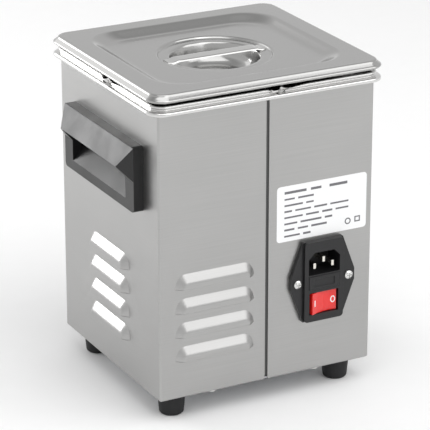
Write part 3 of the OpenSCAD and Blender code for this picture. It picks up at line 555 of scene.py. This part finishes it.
# Lid, from its hem over the brim to the recessed panel, in millimetres: offset, corner radius and height,
# all as in RIM
LID = (
    (0.6, 8.5, 8.5), (3.0, 9.4, 8.55), (4.9, 10.8, 8.85), (6.0, 11.6, 9.5), (6.44, 12.0, 10.35),
    (6.15, 11.8, 11.0), (5.3, 11.2, 11.7), (4.3, 10.5, 12.6), (3.7, 10.0, 13.2), (3.4, 9.7, 13.8),
    (2.9, 9.4, 14.25), (1.9, 9.0, 14.46), (0.4, 9.0, 14.47), (-6, 16, 14.47), (-10.2, 24, 14.47),
    (-11.3, 24.4, 14.25), (-12.8, 24.6, 13.5), (-15.2, 24.5, 12.0), (-17.4, 24.2, 10.7), (-19.2, 23.8, 10.0),
    (-21.2, 23.2, 9.8), (-26, 22, 9.8),
)
# Round dish in the lid's panel, in millimetres: radius, and height as in RIM
DISH = (
    (41.5, 9.8), (40.4, 9.75), (39.4, 9.3), (38.8, 8.5), (38.0, 8.2), (36.8, 8.2), (32.6, 8.2), (31.6, 8.0),
    (30.9, 7.2), (30.3, 5.6), (29.4, 2.6), (28.6, 0.2), (27.2, -2.2), (25, -4.2), (22, -5.6), (18.5, -6.1),
    (12, -6.2),
)
# A ring's half width is this much more than its corner radius, so that its corners stay apart
ROUND_SLACK = 0.02 * MM


def build_lid():
    rings = []
    steps = 16
    for n, r, up in smooth_profile([Vector(p) * MM for p in LID]):
        rings.append(ring_at(half_w + n, half_d + n, r, rim_z + up, (), arc_steps=steps))
    for r, up in smooth_profile([Vector(p) * MM for p in DISH], straight=5 * MM):
        rings.append(ring_at(r + ROUND_SLACK, r + ROUND_SLACK, r, rim_z + up, (), arc_steps=steps))
    bm = loft(rings)
    face_up(bm)
    lid = piece_from(bm, "lid_skin", "lid", "satin_lid", 60)
    thicken(lid, sheet)
    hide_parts("lid_shell")


build_tank()
build_lid()


def build_strap():
    """Strap over the dish: a crowned strip with rolled edges, flat and spot-welded at its ends."""
    low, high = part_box("lid_handle")
    half_len, half_wide, thick = high.x, high.y, 1.4 * MM
    flat_end, ramp, raised = 4 * MM, 4 * MM, 0.9 * MM
    end_round, narrowing = 3 * MM, 0.28
    along, across = 40, 12
    bm = bmesh.new()
    rows = []
    for i in range(along + 1):
        x = -half_len + 2 * half_len * i / along
        reach = min(max((half_len - abs(x) - flat_end) / ramp, 0), 1)
        base = low.z + raised * ease(reach)
        round_end = max(0.0, abs(x) - (half_len - end_round)) / end_round
        wide = half_wide * (1 - narrowing * round_end * round_end)
        row = []
        for k in range(across + 1):
            a = math.pi * k / across
            y = -wide * math.cos(a) if k not in (0, across) else math.copysign(wide, k - across / 2)
            crown = min(1.0, 1.9 * math.sin(a)) ** 0.6 * (0.95 if reach > 0 else 0.9)
            belly = 0.55 + 0.45 * min(1, math.sin(a) * 1.6)
            row.append(bm.verts.new((x, y, base + thick * crown * belly)))
        row.append(bm.verts.new((x, wide * 0.7, base)))
        row.append(bm.verts.new((x, -wide * 0.7, base)))
        rows.append(row)
    for a, b in zip(rows, rows[1:]):
        strip(bm, a, b, closed=True)
    bm.faces.new(rows[0])
    bm.faces.new(rows[-1])
    bmesh.ops.recalc_face_normals(bm, faces=bm.faces)
    strap = piece_from(bm, "lid_strap", "lid", "polished_strap", 50)
    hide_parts("lid_handle")


build_strap()


# ---------- printed label, switch marks, panel marks ----------

INK = moulded("ink", (0.16, 0.16, 0.17), 0.5, 900.0, 0.03, 0.3)
WHITE_INK = moulded("white_ink", (0.85, 0.85, 0.85), 0.45, 900.0, 0.03, 0.3)
UNLIT = moulded("unlit_segments", (0.16, 0.012, 0.010), 0.3, 900.0, 0.03, 0.5)
INK_T = 0.03 * MM


def plate(bm, place, outline, holes=()):
    """A thin printed patch: a flat outline with holes, raised by the thickness of the ink."""
    def raised(u, v):
        return place(u, v, INK_T)

    first = len(bm.faces)
    fill_panel(bm, outline, list(holes), raised)
    bm.faces.ensure_lookup_table()
    top = bm.faces[first:]
    drawn = bmesh.ops.extrude_face_region(bm, geom=top)
    sunk = Vector(place(0, 0, -INK_T)) - Vector(place(0, 0, 0))
    bmesh.ops.translate(bm, verts=[v for v in drawn["geom"] if isinstance(v, bmesh.types.BMVert)], vec=sunk)


def bar(u, v, wide, tall):
    return rectangle(u - wide / 2, u + wide / 2, v - tall / 2, v + tall / 2)


def circle(u, v, r, tall=None):
    return arc(u, v, r, tall or r, 0, 360, 20)[:-1]


def print_piece(bm, name, body, slot, look):
    bmesh.ops.recalc_face_normals(bm, faces=bm.faces)
    return piece_from(bm, name, body, slot, 30, look)


# Rows of bars, in millimetres: middle below the label's top, row height, unit length, then the bars' lengths
# in units, with a gap where the number is below zero
PRINT_LINES = (
    (4.9, 3.4, 2.9, (6, -1, 3, -2, 5)), (9.6, 2.4, 2.1, (4, -1, 6)), (14.1, 2.4, 2.1, (7, -1, 3)),
    (18.4, 2.4, 2.1, (3, -1, 6, -1, 5, -1, 7)), (22.8, 2.4, 2.1, (7, -1, 5, -1, 4, -1, 5)),
    (27.3, 2.4, 2.1, (5, -1, 8, -1, 3)), (31.7, 2.4, 2.1, (4, -1, 4, -1, 6)), (36.2, 2.5, 2.1, (6, -1, 3)),
)


PRINT_MARGIN = 5.6
RING_MARK, SQUARE_MARK = (55.5 * MM, 33.5 * MM), (63 * MM, 33 * MM)


def build_label_print():
    """Rows of plain bars in place of print, and two plain marks. Nothing on it can be read."""
    rng = random.Random(7)
    bm = bmesh.new()
    left, top = label_high.x, label_high.z

    def place(u, v, out=0.0):
        return left - u, label_high.y + out, top - v

    for down, tall, pitch, words in PRINT_LINES:
        u = PRINT_MARGIN
        for count in words:
            if count < 0:
                u -= count * pitch
                continue
            length = count * pitch
            high = tall * rng.uniform(0.5, 0.62)
            plate(bm, place, bar((u + length / 2) * MM, down * MM, (length - 0.5) * MM, high * MM))
            u += length
    plate(bm, place, circle(*RING_MARK, 2.4 * MM), [circle(*RING_MARK, 1.5 * MM)])
    plate(bm, place, bar(*SQUARE_MARK, 4.4 * MM, 4.2 * MM), [bar(*SQUARE_MARK, 2.6 * MM, 2.4 * MM)])
    print_piece(bm, "label_print", "chassis", "black_plastic", INK)


rocker_rest = math.radians(8)
rocker_drop = 16 * MM     # from the inlet's screws down to the rocker's pivot
rocker_out = 1.2 * MM     # from the casing's face out to the pivot
ROCKER_INNER, ROCKER_OUTER = (5.1, 2.5), (10.2, 3.6)    # inner and outer end of a half's face, across and out


def build_rocker_marks():
    """A bar on one half of the rocker and a ring on the other."""
    housing_low, housing_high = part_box("inlet_housing")
    screws_low, screws_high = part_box("inlet_screws")
    pivot = Vector(((housing_low.x + housing_high.x) / 2, half_d + rocker_out,
                    (screws_low.z + screws_high.z) / 2 - rocker_drop))
    cos_rest, sin_rest = math.cos(rocker_rest), math.sin(rocker_rest)
    bar_mark = (1, bar(0, 0, 0.9 * MM, 4.6 * MM), [])
    ring_mark = (-1, circle(0, 0, 1.9 * MM, 2.5 * MM), [circle(0, 0, 1.15 * MM, 1.75 * MM)])
    bm = bmesh.new()
    for side, outline, holes in (bar_mark, ring_mark):
        inner, outer = (Vector((across * side, out)) * MM for across, out in (ROCKER_INNER, ROCKER_OUTER))
        along = (outer - inner).normalized()
        away = Vector((-along.y, along.x)) * side
        middle = (inner + outer) / 2

        def place(u, v, out=0.0):
            at = middle + along * u + away * out
            return (pivot.x + at.x * cos_rest - at.y * sin_rest,
                    pivot.y + at.x * sin_rest + at.y * cos_rest, pivot.z + v)

        plate(bm, place, outline, holes)
    print_piece(bm, "rocker_marks", "rocker", "label_film", WHITE_INK)


def build_button_marks():
    """A plain mark on each push button: a power ring, three bars, a minus or a plus."""
    long, short = 4.4 * MM, 0.8 * MM
    ring = (circle(0, 0, 2.6 * MM), [circle(0, 0, 2.0 * MM)])
    minus = ((bar(0, 0, long, short), []),)
    plus = minus + ((bar(0, 0, short, long), []),)
    icons = {
        "button_power": (ring, (bar(0, 2.4 * MM, 0.7 * MM, 2.4 * MM), [])),
        "button_heat": tuple((bar(x * MM, 0, 0.6 * MM, long), []) for x in (-1.6, 0, 1.6)),
        "button_time_down": minus,
        "button_temp_down": minus,
        "button_time_up": plus,
        "button_temp_up": plus,
    }
    for name, shapes in icons.items():
        low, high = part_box(name)

        def place(u, v, out=0.0):
            return (low.x + high.x) / 2 + u, low.y - out, (low.z + high.z) / 2 + v

        bm = bmesh.new()
        for outline, holes in shapes:
            plate(bm, place, outline, holes)
        print_piece(bm, "mark_" + name, name, "black_plastic", INK)


# Segments of a digit, in millimetres: middle across, middle up, and whether the segment stands
SEGMENTS = ((0, 5, 0), (0, 0, 0), (0, -5, 0), (-2.8, 2.5, 1), (2.8, 2.5, 1), (-2.8, -2.5, 1), (2.8, -2.5, 1))
STANDING, LYING = (0.9, 4.2), (4.6, 0.9)
DIGITS_X = (-21, -12, 12, 21)
BUTTONS = ("button_power", "button_heat", "button_time_down", "button_temp_down", "button_time_up",
           "button_temp_up")


def build_panel_marks():
    """Unlit digits behind the window, a line round it, and short strokes over the buttons."""
    low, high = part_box("display_module")
    bezel_low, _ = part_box("control_bezel")
    window_low, window_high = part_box("display_window")
    mid_z = (low.z + high.z) / 2

    def behind(u, v, out=0.0):
        return u, low.y - out, mid_z + v

    def bezel(u, v, out=0.0):
        return u, bezel_low.y - out, v

    bm = bmesh.new()
    for x in DIGITS_X:
        for u, v, stands in SEGMENTS:
            size = STANDING if stands else LYING
            plate(bm, behind, bar((x + u) * MM, v * MM, size[0] * MM, size[1] * MM))
    print_piece(bm, "display_digits", "chassis", "red_plastic", UNLIT)
    bm = bmesh.new()
    gap, line = 1.5 * MM, 0.8 * MM
    middle = (window_low.z + window_high.z) / 2
    wide, tall = window_high.x - window_low.x + 2 * gap, window_high.z - window_low.z + 2 * gap
    plate(bm, bezel, bar(0, middle, wide + line, tall + line), [bar(0, middle, wide, tall)])
    for name in BUTTONS:
        at_low, at_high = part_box(name)
        u = (at_low.x + at_high.x) / 2
        plate(bm, bezel, bar(u, at_high.z + 1.6 * MM, 9 * MM, 0.5 * MM))
    print_piece(bm, "panel_print", "chassis", "label_film", WHITE_INK)


# ---------- woven basket ----------

def tube(bm, path, r, sides=5):
    """Wire along a path of points, closed at both ends."""
    rings = []
    for i, at in enumerate(path):
        along = (path[min(i + 1, len(path) - 1)] - path[max(i - 1, 0)]).normalized()
        across = along.cross(Vector((0, 0, 1)) if abs(along.z) < 0.9 else Vector((1, 0, 0))).normalized()
        up = along.cross(across)
        rings.append([bm.verts.new(at + r * (across * math.cos(a) + up * math.sin(a)))
                      for a in (2 * math.pi * k / sides for k in range(sides))])
    for a, b in zip(rings, rings[1:]):
        strip(bm, a, b, closed=True)
    bm.faces.new(rings[0])
    bm.faces.new(rings[-1])


def build_weave():
    """Woven wires of the basket: two crossing sets that pass over and under each other."""
    low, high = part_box("basket_mesh")
    r, wave, pitch, turn = 0.30 * MM, 0.18 * MM, 5.0 * MM, 3 * MM
    skin_mid = 0.5 * MM
    corner, corner_r = 9 * MM, 8.5 * MM
    bm = bmesh.new()
    size = (high.x - low.x, high.y - low.y)
    tall = high.z - low.z
    middle = ((low.x + high.x) / 2, (low.y + high.y) / 2)
    counts = [int((size[k] - 2 * corner) / pitch) for k in (0, 1)]
    steps = [(size[k] - 2 * corner) / counts[k] for k in (0, 1)]
    levels = int((tall - turn) / pitch)
    rises = [turn + (k - 0.5) * (tall - turn - skin_mid) / levels for k in range(1, levels + 1)]
    for axis in (0, 1):
        other = 1 - axis
        half = size[axis] / 2 - skin_mid
        for i in range(counts[other] + 1):
            side = -size[other] / 2 + corner + i * steps[other]
            sign = 1 if (i + axis) % 2 else -1
            points = []
            for k in range(levels, 0, -1):
                points.append((-half, rises[k - 1], sign * (-1) ** k))
            points.append((-half + turn * 0.3, turn * 0.3, 0))
            for k in range(counts[axis] + 1):
                points.append((-size[axis] / 2 + corner + k * steps[axis], 0, sign * (-1) ** k))
            points.append((half - turn * 0.3, turn * 0.3, 0))
            for k in range(1, levels + 1):
                points.append((half, rises[k - 1], sign * (-1) ** k))
            path = []
            for along, up, phase in points:
                at = Vector((0, 0, 0))
                at[other] = middle[other] + side
                wall = abs(abs(along) - half) < 1e-6
                at[axis] = middle[axis] + along + (wave * phase if wall else 0)
                at.z = low.z + skin_mid + up + (0 if wall else wave * phase)
                path.append(at)
            tube(bm, path, r)
    for rise in rises:
        z = low.z + skin_mid + rise
        ring = ring_at(size[0] / 2 - skin_mid, size[1] / 2 - skin_mid, corner_r, z, (), arc_steps=5)
        loop = [Vector((x + middle[0], y + middle[1], h)) for x, y, h in ring]
        tube(bm, loop + loop[:2], r)
    bmesh.ops.recalc_face_normals(bm, faces=bm.faces)
    weave = piece_from(bm, "basket_wires", "basket", "basket_weave", 60)
    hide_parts("basket_mesh")


build_label_print()
build_rocker_marks()
build_button_marks()
build_panel_marks()
build_weave()


# ---------- looks of the CAD nodes that stay ----------

# Sheet behind the rear seam, near-black: painted shade standing in for the shadow inside the seam's gap
SEAM_PAINTED_SHADE = brushed_metal("seam_painted_shade", (0.10, 0.10, 0.10), 0.5, FINE)
# Width of the rounded edges on each node that gets them, in millimetres
BEVELS = {
    "side_handle_left": 0.7, "side_handle_right": 0.7, "inlet_housing": 0.45, "fuse_drawer": 0.35,
    "rocker": 0.5, "control_bezel": 0.6, "display_window": 0.3, "inlet_pins": 0.3, "base_plate": 0.2,
    "heatsinks": 0.2, "power_transistors": 0.2, "board_transformer": 0.4, "tact_switches": 0.2,
    "display_module": 0.3, "temperature_sensor": 0.4, "thermal_cutout": 0.3, "rating_label": 0.1,
    "transducer_front_mass": 0.4, "transducer_back_mass": 0.4, "board_inductor": 1.5,
    "board_capacitors": 0.6, "rubber_feet": 0.4,
}


def dress_nodes():
    """Gives every CAD node its slot's look, except the rear seam strip, which gets a dark look of painted
    shade, and rounds the edges of those in BEVELS.
    """
    slots = {s["node"]: s["material_slot"] for s in frame["record"]["subparts"]}
    for name, node in nodes.items():
        node.data.materials.clear()
        node.data.materials.append(SEAM_PAINTED_SHADE if name == "rear_seam_strip" else LOOKS[slots[name]])
        if name in BEVELS:
            weld = node.modifiers.new("weld", "WELD")
            weld.merge_threshold = 0.005 * MM
            flat = node.modifiers.new("flat", "DECIMATE")
            flat.decimate_type = "DISSOLVE"
            flat.angle_limit = math.radians(0.6)
            bevel = node.modifiers.new("bevel", "BEVEL")
            bevel.width = BEVELS[name] * MM
            bevel.segments = 3
            bevel.limit_method = "ANGLE"
            bevel.angle_limit = math.radians(30)
            bevel.harden_normals = False
            weight_normals(node)


dress_nodes()


# ---------- stage, lights and camera ----------

FLOOR_RADIUS = 6.0
# Brightness of the surroundings, from straight below (0) to straight above (1)
SKY_STOPS = ((0.0, 0.85), (0.36, 0.68), (0.60, 0.74), (0.86, 0.45), (1.0, 0.60))
SKY_STRENGTH = 1.14
CAMERA_AZIMUTH, CAMERA_ELEVATION = 152.23, 21.03
CAMERA_DISTANCE = 1.7657
CAMERA_LENS = 211.6
CAMERA_AIM = (0, 0, 0.1124)
LIGHT_AIM = (0, 0, 0.11)


def build_stage():
    bm = bmesh.new()
    bmesh.ops.create_circle(bm, cap_ends=True, radius=FLOOR_RADIUS, segments=64)
    mesh = bpy.data.meshes.new("floor")
    bm.to_mesh(mesh)
    bm.free()
    floor = bpy.data.objects.new("floor", mesh)
    bpy.context.scene.collection.objects.link(floor)
    paper = moulded("floor_paper", (0.93, 0.93, 0.93), 0.8, 300.0, 0.02, 0.2, mottle=0.01)
    floor.data.materials.append(paper)


def build_world():
    world = bpy.data.worlds.new("studio")
    bpy.context.scene.world = world
    world.use_nodes = True
    tree = world.node_tree
    background = tree.nodes["Background"]
    place = add(tree, "ShaderNodeTexCoord")
    split = add(tree, "ShaderNodeSeparateXYZ")
    tree.links.new(place.outputs["Generated"], split.inputs["Vector"])
    ramp = add(tree, "ShaderNodeValToRGB")
    ramp.color_ramp.interpolation = "EASE"
    while len(ramp.color_ramp.elements) < len(SKY_STOPS):
        ramp.color_ramp.elements.new(0.5)
    for element, (at, value) in zip(ramp.color_ramp.elements, SKY_STOPS):
        element.position = at
        element.color = (value, value, value, 1)
    tree.links.new(split.outputs["Z"], ramp.inputs["Fac"])
    tree.links.new(ramp.outputs["Color"], background.inputs["Color"])
    background.inputs["Strength"].default_value = SKY_STRENGTH


def softbox(name, direction, distance, size, power):
    """A rectangular light that far from the object in that direction, turned to face it."""
    light = bpy.data.lights.new(name, "AREA")
    light.shape = "RECTANGLE"
    light.size, light.size_y = size
    light.energy = power
    lamp = bpy.data.objects.new(name, light)
    bpy.context.scene.collection.objects.link(lamp)
    towards = Vector(direction).normalized()
    lamp.location = Vector(LIGHT_AIM) + towards * distance
    lamp.rotation_mode = "QUATERNION"
    lamp.rotation_quaternion = (-towards).to_track_quat("-Z", "Y")


def build_camera():
    azimuth, elevation = math.radians(CAMERA_AZIMUTH), math.radians(CAMERA_ELEVATION)
    level = math.cos(elevation)
    back = Vector((math.sin(azimuth) * level, -math.cos(azimuth) * level, math.sin(elevation)))
    data = bpy.data.cameras.new("camera")
    data.lens = CAMERA_LENS
    data.sensor_width = 36
    data.clip_start, data.clip_end = 0.05, 50
    camera = bpy.data.objects.new("camera", data)
    bpy.context.scene.collection.objects.link(camera)
    camera.location = Vector(CAMERA_AIM) + back * CAMERA_DISTANCE
    camera.rotation_mode = "QUATERNION"
    camera.rotation_quaternion = (-back).to_track_quat("-Z", "Y")
    bpy.context.scene.camera = camera


build_stage()
build_world()
softbox("left_box", (0.54, -0.826, 0.19), 1.6, (0.62, 0.42), 5.2)
softbox("front_box", (0.36, -0.826, 0.46), 1.6, (1.0, 0.7), 1.8)
softbox("rear_box", (-0.40, 0.62, 0.68), 1.8, (1.9, 1.4), 11)
softbox("top_box", (0.1, 0.35, 1.0), 1.7, (1.4, 1.4), 8.5)
build_camera()
bpy.context.scene.view_settings.view_transform = "Standard"
